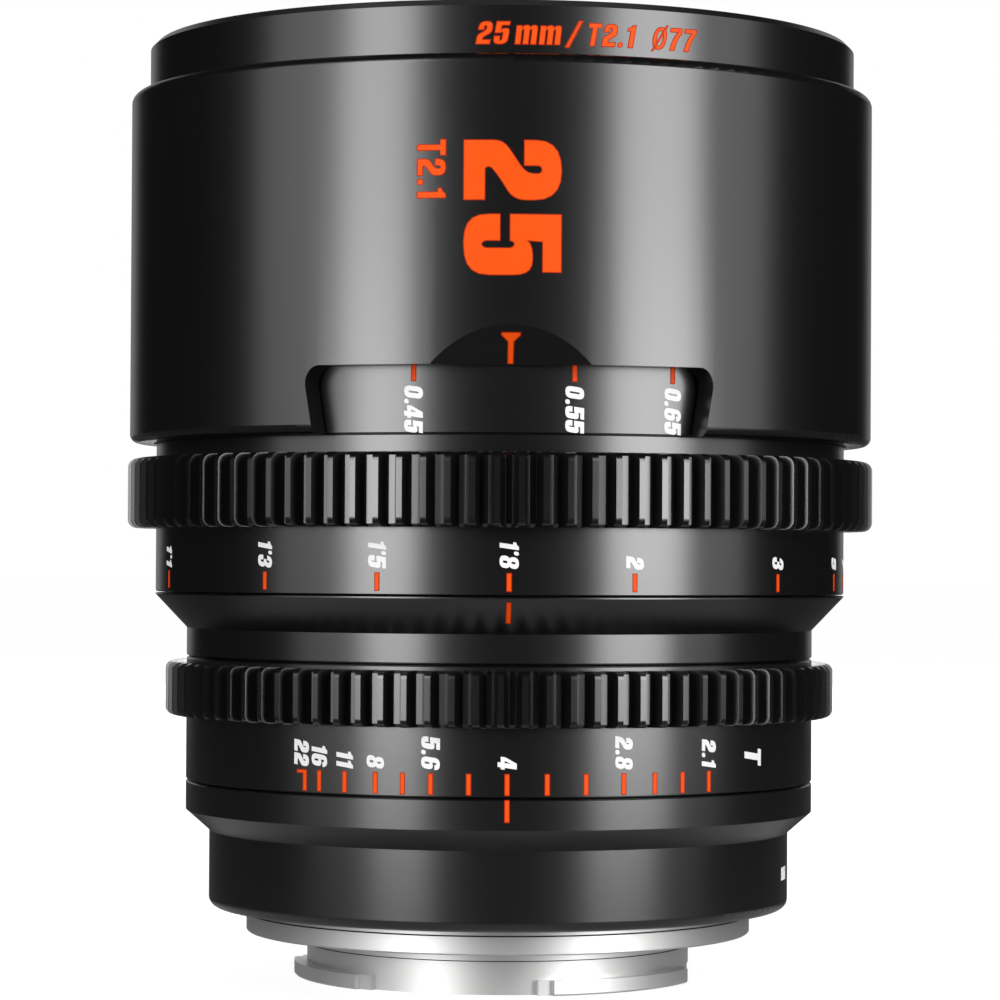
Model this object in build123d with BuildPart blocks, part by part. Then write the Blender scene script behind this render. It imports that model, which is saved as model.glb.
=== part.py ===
"""Cinema prime lens for a mirrorless camera, standing on its bayonet with the front end up.

Sizes are in millimetres. +Z runs along the lens axis to the front, the origin is on the axis in the
plane of the bayonet's end, and the index marks face -Y. The pieces stand at rest: the focus ring at
the middle of its scale and the aperture ring at T4.
"""

import os
from math import asin, cos, degrees, pi, radians, sin, sqrt

from build123d import *

os.makedirs("parts", exist_ok=True)

# Driving sizes of the outside, from the bayonet up
tube_length = 5.0
flange_thickness = 2.35
shim_thickness = 0.45
rear_barrel_height = 14.2
aperture_ring_height = 13.75
mid_barrel_height = 7.05
focus_ring_height = 16.8
body_height = 39.25
front_ring_height = 5.8

tube_radius = 21.65
barrel_radius = 33.0

# Clearances that the whole lens shares, all on the radius or along the axis
run_gap = 0.05
seat_gap = 0.02
seam = 0.15
overrun = 1.0
match = 0.001
edge_break = 0.15

# Walls and steps, which set every other radius from the main barrel's
barrel_wall = 2.0
aperture_wall = 2.5
rear_step = 2.67
helicoid_wall = 2.3
focus_wall = 3.75
scale_gap = 0.3
body_wall = 2.71
front_step = 2.06
front_wall = 1.9
flange_width = 6.9

barrel_bore = barrel_radius - barrel_wall
band_radius = barrel_radius + aperture_wall
rear_radius = band_radius - rear_step
helicoid_radius = barrel_radius + helicoid_wall
scale_radius = helicoid_radius + focus_wall
body_bore = scale_radius + scale_gap
body_radius = body_bore + body_wall
front_ring_radius = body_radius - front_step
filter_bore = front_ring_radius - front_wall
flange_radius = tube_radius + flange_width

# Focus travel
near_turn = 166.0
far_turn = 104.0
focus_travel = 3.6
near_travel = focus_travel * near_turn / (near_turn + far_turn)
far_travel = focus_travel - near_travel

# Aperture travel
close_turn = 37.6
open_turn = 37.6

# Levels along the axis
flange_z = tube_length
shim_z = flange_z + flange_thickness
rear_z = shim_z + shim_thickness
rear_top = rear_z + rear_barrel_height
aperture_z = rear_top + seam
aperture_top = aperture_z + aperture_ring_height
mid_z = aperture_top + seam
mid_top = mid_z + mid_barrel_height
focus_z = mid_top + seam
focus_top = focus_z + focus_ring_height
rim_drop = 0.1
body_z = focus_top - rim_drop
body_top = body_z + body_height
front_top = body_top + front_ring_height


def outline(*points):
    """A closed profile of radius and height pairs."""
    with BuildSketch(Plane.XZ) as profile:
        with BuildLine():
            Polyline(*points, close=True)
        make_face()
    return profile.sketch


def band(inner, outer, bottom, top):
    """The profile of a plain ring."""
    return outline((inner, bottom), (outer, bottom), (outer, top), (inner, top))


def sector(height, inner, outer, start, sweep):
    """A flat piece of ring at a height, from a start angle round through a sweep."""
    with BuildSketch(Plane.XY.offset(height)) as piece:
        with BuildLine():
            near = CenterArc((0, 0), inner, start, sweep)
            far = CenterArc((0, 0), outer, start, sweep)
            Line(near @ 0, far @ 0)
            Line(near @ 1, far @ 1)
        make_face()
    return piece.sketch


def facing(angle, height, distance=0.0):
    """The plane that looks outwards from the axis at an angle, with its own Y upwards."""
    outward = (cos(radians(angle)), sin(radians(angle)), 0)
    origin = (distance * outward[0], distance * outward[1], height)
    return Plane(origin=origin, x_dir=(-outward[1], outward[0], 0), z_dir=outward)


def underside(height):
    """The level plane at a height that looks down; angles on it run the other way round."""
    return Plane(origin=(0, 0, height), x_dir=(1, 0, 0), z_dir=(0, 0, -1))


def rims(piece, radius, height):
    """The round edges of a piece that have that radius at that height."""
    circles = piece.edges().filter_by(GeomType.CIRCLE)
    same_size = [edge for edge in circles if abs(edge.radius - radius) < match]
    return [edge for edge in same_size if abs(edge.arc_center.Z - height) < match]


# Bayonet: a flange with a stepped tube and three lugs
mount_wall = 2.15
throat_step = 0.9
throat_depth = 2.6
tube_step = 0.45
tube_step_height = 1.15
foot_step = 0.12
lug_reach = 1.45
lug_base_reach = 0.7
lug_thickness = 1.6
foot_step_z = 1.57
mount_bore = tube_radius - mount_wall
mount_throat = mount_bore - throat_step
throat_z = tube_length - throat_depth
tube_step_z = tube_length - tube_step_height
lug_radius = tube_radius + lug_reach
lug_base_radius = tube_radius + lug_base_reach
lug_base_lead = 4.0
lug_starts = (-76.0, 50.0, 175.3)
lug_sweep = 51.0
lug_chamfer = 0.2
lug_root = 0.5
mount_screw_count = 4
mount_screw_inset = 3.15
mount_screw_start = 20.0
mount_screw_radius = 1.0
mount_screw_head = 1.9
mount_screw_length = 5.6
countersink_angle = 90
lock_hole_radius = 1.7
lock_hole_depth = 1.5
lock_hole_angle = -14.0
mount_screw_circle = flange_radius - mount_screw_inset
countersink_depth = mount_screw_head - mount_screw_radius

with BuildPart() as bayonet_mount:
    revolve(outline(
        (mount_bore, 0),
        (tube_radius - foot_step, 0),
        (tube_radius - foot_step, foot_step_z),
        (tube_radius, foot_step_z),
        (tube_radius, tube_step_z),
        (tube_radius + tube_step, tube_step_z),
        (tube_radius + tube_step, flange_z),
        (flange_radius, flange_z),
        (flange_radius, shim_z),
        (mount_throat, shim_z),
        (mount_throat, throat_z),
        (mount_bore, throat_z),
    ), axis=Axis.Z)
    chamfer(rims(bayonet_mount, flange_radius, flange_z), edge_break)
    for start in lug_starts:
        base_start = start - lug_base_lead
        base_sweep = lug_sweep + 2 * lug_base_lead
        extrude(sector(0, tube_radius - lug_root, lug_base_radius, base_start, base_sweep),
                amount=lug_thickness)
        extrude(sector(0, tube_radius - lug_root, lug_radius, start, lug_sweep),
                amount=lug_thickness)
    chamfer(rims(bayonet_mount, lug_radius, 0), lug_chamfer)
    with Locations(underside(flange_z)):
        with PolarLocations(mount_screw_circle, mount_screw_count, mount_screw_start):
            CounterSinkHole(mount_screw_radius + run_gap, mount_screw_head + run_gap,
                            flange_thickness + overrun, countersink_angle)
        with PolarLocations(mount_screw_circle, 1, lock_hole_angle):
            Hole(lock_hole_radius, lock_hole_depth)
bayonet_mount.part.label = "bayonet_mount"
export_step(bayonet_mount.part, "parts/bayonet_mount.step")

with BuildPart(underside(flange_z)) as mount_screws:
    with PolarLocations(mount_screw_circle, mount_screw_count, mount_screw_start):
        Cone(mount_screw_radius, mount_screw_head, countersink_depth,
             align=(Align.CENTER, Align.CENTER, Align.MAX))
        Cylinder(mount_screw_radius, mount_screw_length,
                 align=(Align.CENTER, Align.CENTER, Align.MAX))
mount_screws.part.label = "mount_screws"
export_step(mount_screws.part, "parts/mount_screws.step")

shim_width = 5.55
shim_bore = flange_radius - shim_width

with BuildPart() as mount_shim:
    revolve(band(shim_bore, flange_radius, shim_z, rear_z), axis=Axis.Z)
    with Locations(Plane.XY.offset(rear_z)):
        with PolarLocations(mount_screw_circle, mount_screw_count, -mount_screw_start):
            Hole(mount_screw_radius + run_gap, shim_thickness + overrun)
mount_shim.part.label = "mount_shim"
export_step(mount_shim.part, "parts/mount_shim.step")

# Light baffle that closes the rear of the bayonet but for a window of the picture's shape
baffle_thickness = 1.2
baffle_window_corner = 3.0
baffle_window_shares = (1.4516, 1.0215)

with BuildPart() as rear_baffle:
    revolve(band(0, mount_bore - seat_gap, throat_z - baffle_thickness, throat_z), axis=Axis.Z)
    with BuildSketch(Plane.XY.offset(throat_z - baffle_thickness)):
        RectangleRounded(*[share * mount_throat for share in baffle_window_shares],
                         baffle_window_corner)
    extrude(amount=baffle_thickness, mode=Mode.SUBTRACT)
rear_baffle.part.label = "rear_baffle"
export_step(rear_baffle.part, "parts/rear_baffle.step")

# Rear barrel: a cup that takes the mount below and the main barrel above
rear_bore_step = 0.65
rear_floor = 3.5
rear_wall = 2.5
rear_round = 1.1
cone_height = 2.35
cone_drop = 5.6
seat_depth = 2.5
ledge_thickness = 2.5
ledge_width = 7.0
barrel_flange_thickness = 1.5
barrel_flange_width = 6.0
barrel_screw_count = 4
barrel_screw_inset = 4.4
barrel_screw_radius = 0.8
barrel_screw_head = 1.4
barrel_screw_head_height = 1.1
rear_bore = tube_radius - rear_bore_step
ledge_bore = barrel_radius - ledge_width
barrel_flange_bore = barrel_radius - barrel_flange_width
barrel_screw_circle = barrel_radius - barrel_screw_inset
cone_z = rear_top - cone_drop
barrel_z = rear_top - seat_depth
ledge_z = barrel_z - ledge_thickness

with BuildPart() as rear_barrel:
    revolve(outline(
        (rear_bore, rear_z),
        (rear_radius, rear_z),
        (rear_radius, cone_z),
        (band_radius, cone_z + cone_height),
        (band_radius, rear_top),
        (barrel_radius + seat_gap, rear_top),
        (barrel_radius + seat_gap, barrel_z),
        (ledge_bore, barrel_z),
        (ledge_bore, ledge_z),
        (rear_radius - rear_wall, ledge_z),
        (rear_radius - rear_wall, rear_z + rear_floor),
        (rear_bore, rear_z + rear_floor),
    ), axis=Axis.Z)
    fillet(rims(rear_barrel, rear_radius, rear_z), rear_round)
    chamfer(rims(rear_barrel, band_radius, rear_top), edge_break)
    with Locations(Plane.XY.offset(rear_z + rear_floor)):
        with PolarLocations(mount_screw_circle, mount_screw_count, -mount_screw_start):
            Hole(mount_screw_radius + seat_gap, rear_floor + overrun)
    with Locations(Plane.XY.offset(barrel_z)):
        with PolarLocations(barrel_screw_circle, barrel_screw_count):
            Hole(barrel_screw_radius + run_gap, ledge_thickness + overrun)
rear_barrel.part.label = "rear_barrel"
export_step(rear_barrel.part, "parts/rear_barrel.step")

with BuildPart(Plane.XY.offset(ledge_z)) as barrel_screws:
    with PolarLocations(barrel_screw_circle, barrel_screw_count):
        Cylinder(barrel_screw_head, barrel_screw_head_height,
                 align=(Align.CENTER, Align.CENTER, Align.MAX))
        Cylinder(barrel_screw_radius, ledge_thickness + barrel_flange_thickness - edge_break,
                 align=(Align.CENTER, Align.CENTER, Align.MIN))
barrel_screws.part.label = "barrel_screws"
export_step(barrel_screws.part, "parts/barrel_screws.step")

# Main barrel, with straight slots for the drive keys and an arc slot for the aperture pin
helicoid_drop = 15.2
collar_height = 3.8
barrel_drop = 2.2
helicoid_top = body_top - helicoid_drop
collar_z = helicoid_top + seam
web_z = collar_z + collar_height
barrel_top = body_top - barrel_drop
key_angles = (-90.0, 30.0, 150.0)
key_width = 8.0
key_height = 12.0
key_rise = 3.95
key_z = focus_top + key_rise
key_end_gap = 0.6
pin_radius = 0.8
pin_angle = 90.0
pin_rise = 5.75
pin_z = aperture_z + pin_rise
pin_slot_gap = 0.1
pin_half_angle = degrees(asin((pin_radius + pin_slot_gap) / barrel_radius))
pin_slot_start = pin_angle - open_turn - pin_half_angle
pin_slot_sweep = open_turn + close_turn + 2 * pin_half_angle

with BuildPart() as main_barrel:
    revolve(outline(
        (barrel_flange_bore, barrel_z),
        (barrel_radius, barrel_z),
        (barrel_radius, collar_z),
        (helicoid_radius, collar_z),
        (helicoid_radius, web_z),
        (barrel_radius, web_z),
        (barrel_radius, barrel_top),
        (barrel_bore, barrel_top),
        (barrel_bore, barrel_z + barrel_flange_thickness),
        (barrel_flange_bore, barrel_z + barrel_flange_thickness),
    ), axis=Axis.Z)
    key_slot_height = key_height + focus_travel + 2 * key_end_gap
    key_slot_z = key_z + (near_travel - far_travel) / 2
    with BuildSketch(*[facing(angle, key_slot_z, barrel_bore - overrun) for angle in key_angles]):
        Rectangle(key_width + 2 * run_gap, key_slot_height)
    extrude(amount=barrel_wall + 2 * overrun, mode=Mode.SUBTRACT)
    pin_slot_bottom = pin_z - pin_radius - pin_slot_gap
    extrude(sector(pin_slot_bottom, barrel_bore - overrun, barrel_radius + overrun,
                   pin_slot_start, pin_slot_sweep),
            amount=2 * (pin_radius + pin_slot_gap), mode=Mode.SUBTRACT)
    with Locations(Plane.XY.offset(barrel_z + barrel_flange_thickness)):
        with PolarLocations(barrel_screw_circle, barrel_screw_count):
            Hole(barrel_screw_radius + seat_gap, barrel_flange_thickness + overrun)
main_barrel.part.label = "main_barrel"
export_step(main_barrel.part, "parts/main_barrel.step")

# Gear teeth of the two rings: cine module 0.8, with rounded ends
gear_module = 0.8
addendum = 0.65
dedendum = 1.0
tooth_land = 0.62
tooth_gap = 0.65
tooth_sink = 0.5
root_chamfer = 0.35


def tip_radius(count):
    """How far the teeth of a gear of that count reach."""
    return gear_module * count / 2 + addendum


def root_radius(count):
    """Where the gaps of a gear of that count bottom out."""
    return gear_module * count / 2 - dedendum


def gear_teeth(count, bottom, width, end_round, first):
    """The teeth alone, sunk a little below their root so that they join the ring."""
    tip = tip_radius(count)
    root = root_radius(count)
    half_land = tooth_land / 2
    half_root = pi * root / count - tooth_gap / 2
    lean = (half_root - half_land) / (tip - root)
    half_foot = half_root + lean * tooth_sink
    with BuildSketch(Plane.XZ) as blank:
        with BuildLine():
            Polyline((0, bottom), (tip, bottom), (tip, bottom + width), (0, bottom + width),
                     close=True)
        make_face()
        fillet(blank.vertices().group_by(Axis.X)[-1], end_round)
    with BuildPart() as teeth:
        with BuildSketch(Plane.XY.offset(bottom)):
            with PolarLocations(0, count, first):
                Polygon((root - tooth_sink, -half_foot), (tip, -half_land),
                        (tip, half_land), (root - tooth_sink, half_foot), align=None)
        extrude(amount=width)
        revolve(blank.sketch, axis=Axis.Z, mode=Mode.INTERSECT)
    return teeth.part


def geared(outer, root, bottom, top):
    """The outer profile points of a ring where it thickens into the root of its gear."""
    return (
        (outer, bottom),
        (root - root_chamfer, bottom),
        (root, bottom + root_chamfer),
        (root, top - root_chamfer),
        (root - root_chamfer, top),
        (outer, top),
    )


# Aperture ring: collar, gear and T scale
aperture_gear_step = 1.7
aperture_gear_share = 0.43273
aperture_teeth = round(2 * (band_radius + aperture_gear_step) / gear_module)
aperture_gear_width = aperture_gear_share * aperture_ring_height
aperture_collar = 0.5
aperture_end_round = 0.8
aperture_tooth_first = -87.3
pin_cover = 0.6
pin_outer_end = band_radius - pin_cover
aperture_gear_top = aperture_top - aperture_collar
aperture_gear_z = aperture_gear_top - aperture_gear_width
aperture_bore = barrel_radius + run_gap

aperture_ring_teeth = gear_teeth(aperture_teeth, aperture_gear_z, aperture_gear_width,
                                 aperture_end_round, aperture_tooth_first)

with BuildPart() as aperture_ring:
    revolve(outline(
        (aperture_bore, aperture_z),
        (band_radius - edge_break, aperture_z),
        (band_radius, aperture_z + edge_break),
        *geared(band_radius, root_radius(aperture_teeth), aperture_gear_z, aperture_gear_top),
        (band_radius, aperture_top - edge_break),
        (band_radius - edge_break, aperture_top),
        (aperture_bore, aperture_top),
    ), axis=Axis.Z)
    add(aperture_ring_teeth)
    with BuildSketch(facing(pin_angle, pin_z, aperture_bore - overrun)):
        Circle(pin_radius + seat_gap)
    extrude(amount=pin_outer_end + seat_gap - aperture_bore + overrun, mode=Mode.SUBTRACT)
aperture_ring.part.label = "aperture_ring"
export_step(aperture_ring.part, "parts/aperture_ring.step")

# Drive pin from the aperture ring through both tubes to the fork of the iris
carriage_wall = 2.0
iris_lock_wall = 3.2
iris_lock_gap = 0.68
iris_rim_wall = 1.6
fork_share = 0.789
fork_depth_share = 0.128
carriage_radius = barrel_bore - run_gap
carriage_bore = carriage_radius - carriage_wall
cell_radius = carriage_bore - seat_gap
iris_outer = cell_radius - iris_lock_wall - iris_lock_gap
iris_rim_inner = iris_outer - iris_rim_wall
fork_inner = fork_share * iris_rim_inner
fork_depth = fork_depth_share * iris_rim_inner
pin_inner_end = fork_inner + seat_gap

with BuildPart() as aperture_drive_pin:
    with BuildSketch(facing(pin_angle, pin_z, pin_inner_end)):
        Circle(pin_radius)
    extrude(amount=pin_outer_end - pin_inner_end)
aperture_drive_pin.part.label = "aperture_drive_pin"
export_step(aperture_drive_pin.part, "parts/aperture_drive_pin.step")

# Mid barrel: the fixed ring between the two scales, with the groove that stops the focus ring
mid_cylinder_share = 0.4468
mid_cylinder_height = mid_cylinder_share * mid_barrel_height
mid_lip = 0.15
stop_pin_radius = 0.8
stop_pin_depth = 1.5
stop_pin_hold = 4.0
stop_groove_gap = 0.12
stop_pin_angle = 90.0
stop_pin_circle = (barrel_radius + helicoid_radius) / 2
stop_half_angle = degrees(asin((stop_pin_radius + stop_groove_gap) / stop_pin_circle))

with BuildPart() as mid_barrel:
    revolve(outline(
        (barrel_radius + seat_gap, mid_z),
        (band_radius - edge_break, mid_z),
        (band_radius, mid_z + edge_break),
        (band_radius, mid_z + mid_cylinder_height),
        (scale_radius, mid_top - mid_lip),
        (scale_radius, mid_top),
        (barrel_radius + seat_gap, mid_top),
    ), axis=Axis.Z)
    groove_half_width = stop_pin_radius + stop_groove_gap
    extrude(sector(mid_top - stop_pin_depth - stop_groove_gap,
                   stop_pin_circle - groove_half_width, stop_pin_circle + groove_half_width,
                   stop_pin_angle - far_turn - stop_half_angle,
                   far_turn + near_turn + 2 * stop_half_angle),
            amount=stop_pin_depth + overrun, mode=Mode.SUBTRACT)
mid_barrel.part.label = "mid_barrel"
export_step(mid_barrel.part, "parts/mid_barrel.step")

# Focus ring: scale in feet, gear and the neck that carries the metric sleeve
focus_gear_step = 2.55
focus_gear_share = 0.46429
focus_gear_place_share = 0.42262
focus_teeth = round(2 * (scale_radius + focus_gear_step) / gear_module)
focus_gear_width = focus_gear_share * focus_ring_height
focus_gear_height = focus_gear_place_share * focus_ring_height
focus_end_round = 1.0
focus_tooth_first = -88.4
focus_gear_z = focus_z + focus_gear_height
focus_bore = helicoid_radius + seat_gap

focus_ring_teeth = gear_teeth(focus_teeth, focus_gear_z, focus_gear_width,
                              focus_end_round, focus_tooth_first)

with BuildPart() as focus_ring:
    revolve(outline(
        (focus_bore, focus_z),
        (scale_radius - edge_break, focus_z),
        (scale_radius, focus_z + edge_break),
        *geared(scale_radius, root_radius(focus_teeth), focus_gear_z,
                focus_gear_z + focus_gear_width),
        (scale_radius, focus_top - edge_break),
        (scale_radius - edge_break, focus_top),
        (focus_bore, focus_top),
    ), axis=Axis.Z)
    add(focus_ring_teeth)
focus_ring.part.label = "focus_ring"
export_step(focus_ring.part, "parts/focus_ring.step")

# Metric scale sleeve, seen through the window of the front barrel
sleeve_z = focus_top
sleeve_share = 0.50446
sleeve_height = sleeve_share * body_height
sleeve_wall = 1.5
sleeve_land = 4.0
sleeve_screw_count = 3
sleeve_screw_radius = 0.8
sleeve_screw_sink = 0.3
sleeve_screw_length = focus_wall - sleeve_screw_sink + (helicoid_wall - run_gap) / 2
sleeve_top = sleeve_z + sleeve_height
sleeve_screw_z = sleeve_top - sleeve_land / 2
sleeve_screw_planes = [
    facing(360 * turn / sleeve_screw_count, sleeve_screw_z, scale_radius - sleeve_screw_sink)
    for turn in range(sleeve_screw_count)
]

with BuildPart() as scale_sleeve:
    revolve(outline(
        (focus_bore, sleeve_z),
        (scale_radius - edge_break, sleeve_z),
        (scale_radius, sleeve_z + edge_break),
        (scale_radius, sleeve_top),
        (focus_bore, sleeve_top),
        (focus_bore, sleeve_top - sleeve_land),
        (scale_radius - sleeve_wall, sleeve_top - sleeve_land),
        (scale_radius - sleeve_wall, sleeve_z + sleeve_land),
        (focus_bore, sleeve_z + sleeve_land),
    ), axis=Axis.Z)
    with BuildSketch(*sleeve_screw_planes):
        Circle(sleeve_screw_radius + seat_gap)
    extrude(amount=overrun, both=True, mode=Mode.SUBTRACT)
    with BuildSketch(*sleeve_screw_planes):
        Circle(sleeve_screw_radius + seat_gap)
    extrude(amount=-sleeve_screw_length, mode=Mode.SUBTRACT)
scale_sleeve.part.label = "scale_sleeve"
export_step(scale_sleeve.part, "parts/scale_sleeve.step")

with BuildPart() as focus_helicoid:
    revolve(band(barrel_radius + run_gap, helicoid_radius, focus_z, helicoid_top), axis=Axis.Z)
    with BuildSketch(*sleeve_screw_planes):
        Circle(sleeve_screw_radius + seat_gap)
    extrude(amount=-sleeve_screw_length - seat_gap, mode=Mode.SUBTRACT)
    with Locations(underside(focus_z)):
        with PolarLocations(stop_pin_circle, 1, -stop_pin_angle):
            Hole(stop_pin_radius + seat_gap, stop_pin_hold + seat_gap)
focus_helicoid.part.label = "focus_helicoid"
export_step(focus_helicoid.part, "parts/focus_helicoid.step")

with BuildPart() as sleeve_screws:
    with BuildSketch(*sleeve_screw_planes):
        Circle(sleeve_screw_radius)
    extrude(amount=-sleeve_screw_length)
sleeve_screws.part.label = "sleeve_screws"
export_step(sleeve_screws.part, "parts/sleeve_screws.step")

with BuildPart(Plane.XY.offset(mid_top - stop_pin_depth)) as focus_stop_pin:
    with PolarLocations(stop_pin_circle, 1, stop_pin_angle):
        Cylinder(stop_pin_radius, stop_pin_depth + seam + stop_pin_hold,
                 align=(Align.CENTER, Align.CENTER, Align.MIN))
focus_stop_pin.part.label = "focus_stop_pin"
export_step(focus_stop_pin.part, "parts/focus_stop_pin.step")

# Front barrel: the broad body, with the scale window in its lower rim and a scalloped index seat
body_round = 1.0
web_thickness = 2.5
window_share = 0.18217
window_foot_angle = 28.9
window_top_angle = 30.9
window_corner = 1.9
scallop_share = 0.3566
scallop_rise = 4.1
scallop_radius = scallop_share * body_radius
window_top = body_z + window_share * body_height
scallop_z = window_top + scallop_rise - scallop_radius
scallop_inner_radius = scallop_radius - scallop_rise
scallop_lean = scallop_rise / body_wall


def window_face(distance):
    """The window's outline on an upright plane that far in front of the axis."""
    foot = distance * sin(radians(window_foot_angle)) / cos(radians(window_foot_angle))
    head = distance * sin(radians(window_top_angle)) / cos(radians(window_top_angle))
    with BuildSketch(facing(-90, 0, distance)) as face:
        with BuildLine():
            Polyline((-foot, body_z - overrun), (foot, body_z - overrun),
                     (head, window_top), (-head, window_top), close=True)
        make_face()
        fillet(face.vertices().group_by(Axis.Z)[-1], window_corner)
    return face.sketch


with BuildPart() as front_barrel:
    revolve(outline(
        (body_bore, body_z),
        (body_radius, body_z),
        (body_radius, body_top),
        (body_bore, body_top),
        (body_bore, web_z + web_thickness),
        (barrel_radius + seat_gap, web_z + web_thickness),
        (barrel_radius + seat_gap, web_z),
        (body_bore, web_z),
    ), axis=Axis.Z)
    fillet(rims(front_barrel, body_radius, body_top), body_round)
    fillet(rims(front_barrel, body_radius, body_z), body_round)
    loft([window_face(body_bore * cos(radians(window_top_angle)) - overrun),
          window_face(body_radius + overrun)], mode=Mode.SUBTRACT)
    with Locations(facing(-90, scallop_z, body_bore)):
        Cone(scallop_inner_radius, scallop_radius + overrun * scallop_lean,
             body_wall + overrun,
             align=(Align.CENTER, Align.CENTER, Align.MIN), mode=Mode.SUBTRACT)
front_barrel.part.label = "front_barrel"
export_step(front_barrel.part, "parts/front_barrel.step")

# Lock ring that clamps the front barrel on the main barrel's collar
lock_ring_wall = 3.6
lock_ring_height = 2.4
lock_notch_width = 3.0
lock_notch_depth = 1.2
lock_notch_angles = (0.0, 90.0, 180.0, 270.0)
lock_ring_radius = barrel_radius + lock_ring_wall
lock_ring_z = web_z + web_thickness

with BuildPart() as barrel_lock_ring:
    revolve(band(barrel_radius + seat_gap, lock_ring_radius, lock_ring_z,
                 lock_ring_z + lock_ring_height), axis=Axis.Z)
    notch_z = lock_ring_z + lock_ring_height
    with BuildSketch(*[facing(angle, notch_z, barrel_radius - overrun)
                       for angle in lock_notch_angles]):
        Rectangle(lock_notch_width, 2 * lock_notch_depth)
    extrude(amount=lock_ring_radius - barrel_radius + 2 * overrun, mode=Mode.SUBTRACT)
barrel_lock_ring.part.label = "barrel_lock_ring"
export_step(barrel_lock_ring.part, "parts/barrel_lock_ring.step")

# Front ring with the filter bore, and the stepped baffle inside it
front_chamfer = 0.7
spigot_depth = 4.2
filter_depth = 5.0
baffle_pocket_step = 1.1
baffle_ledge_step = 1.2
baffle_height = 2.7
baffle_width = 5.6
baffle_inner_height = 0.8
baffle_step_count = 5
baffle_pocket = filter_bore - baffle_pocket_step
baffle_ledge = baffle_pocket - baffle_ledge_step
baffle_bore = baffle_pocket - baffle_width
spigot_radius = body_bore - seat_gap
filter_floor = front_top - filter_depth
baffle_z = filter_floor - baffle_height

with BuildPart() as front_ring:
    revolve(outline(
        (baffle_ledge, body_top - spigot_depth),
        (spigot_radius, body_top - spigot_depth),
        (spigot_radius, body_top),
        (front_ring_radius, body_top),
        (front_ring_radius, front_top - front_chamfer),
        (front_ring_radius - front_chamfer, front_top),
        (filter_bore, front_top),
        (filter_bore, filter_floor),
        (baffle_pocket, filter_floor),
        (baffle_pocket, baffle_z),
        (baffle_ledge, baffle_z),
    ), axis=Axis.Z)
front_ring.part.label = "front_ring"
export_step(front_ring.part, "parts/front_ring.step")

baffle_outer = baffle_pocket - seat_gap
baffle_run = (baffle_outer - baffle_bore) / baffle_step_count
baffle_fall = (baffle_height - baffle_inner_height) / baffle_step_count
baffle_steps = []
for step in range(baffle_step_count):
    tread_z = filter_floor - step * baffle_fall
    baffle_steps.append((baffle_outer - step * baffle_run, tread_z))
    baffle_steps.append((baffle_outer - (step + 1) * baffle_run, tread_z))

with BuildPart() as front_baffle:
    revolve(outline((baffle_bore, baffle_z), (baffle_outer, baffle_z), *baffle_steps),
            axis=Axis.Z)
front_baffle.part.label = "front_baffle"
export_step(front_baffle.part, "parts/front_baffle.step")

# Lens carriage: the inner tube that slides, with its drive keys
carriage_rise = 1.0
carriage_drop = 5.0
rib_rise = 3.95
rib_height = 4.0
rib_width = 2.45
carriage_z = rear_top + carriage_rise
carriage_top = barrel_top - carriage_drop
rib_z = mid_z + rib_rise
rib_top = rib_z + rib_height
rib_bore = carriage_bore - rib_width
carriage_slot_gap = 0.2
key_screw_radius = 0.8
key_screw_head = 1.6
key_screw_length = 3.2
key_screw_angle = 90
key_outer = barrel_radius
carriage_slot_z = pin_z - near_travel - pin_radius - carriage_slot_gap
carriage_slot_height = focus_travel + 2 * (pin_radius + carriage_slot_gap)
carriage_slot_half = degrees(asin((pin_radius + carriage_slot_gap) / carriage_bore))
key_planes = [facing(angle, key_z, key_outer) for angle in key_angles]

with BuildPart() as lens_carriage:
    revolve(outline(
        (carriage_bore, carriage_z),
        (carriage_radius, carriage_z),
        (carriage_radius, carriage_top),
        (carriage_bore, carriage_top),
        (carriage_bore, rib_top),
        (rib_bore, rib_top),
        (rib_bore, rib_z),
        (carriage_bore, rib_z),
    ), axis=Axis.Z)
    extrude(sector(carriage_slot_z, carriage_bore - overrun, carriage_radius + overrun,
                   pin_angle - open_turn - carriage_slot_half,
                   open_turn + close_turn + 2 * carriage_slot_half),
            amount=carriage_slot_height, mode=Mode.SUBTRACT)
    with BuildSketch(*key_planes):
        Circle(key_screw_radius + seat_gap)
    extrude(amount=-key_screw_length - seat_gap, mode=Mode.SUBTRACT)
lens_carriage.part.label = "lens_carriage"
export_step(lens_carriage.part, "parts/lens_carriage.step")

with BuildPart() as drive_keys:
    with BuildSketch(*[facing(angle, key_z, carriage_radius - overrun) for angle in key_angles]):
        Rectangle(key_width, key_height)
    extrude(amount=key_outer - carriage_radius + 2 * overrun)
    revolve(band(carriage_radius + seat_gap, key_outer, key_z - key_height, key_z + key_height),
            axis=Axis.Z, mode=Mode.INTERSECT)
    with Locations(*key_planes):
        CounterSinkHole(key_screw_radius + seat_gap, key_screw_head + seat_gap,
                        key_screw_length, key_screw_angle)
drive_keys.part.label = "drive_keys"
export_step(drive_keys.part, "parts/drive_keys.step")

with BuildPart() as key_screws:
    with Locations(*key_planes):
        with Locations((0, 0, -edge_break)):
            Cone(key_screw_radius, key_screw_head - edge_break,
                 key_screw_head - edge_break - key_screw_radius,
                 align=(Align.CENTER, Align.CENTER, Align.MAX))
            Cylinder(key_screw_radius, key_screw_length - edge_break,
                     align=(Align.CENTER, Align.CENTER, Align.MAX))
key_screws.part.label = "key_screws"
export_step(key_screws.part, "parts/key_screws.step")

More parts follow.
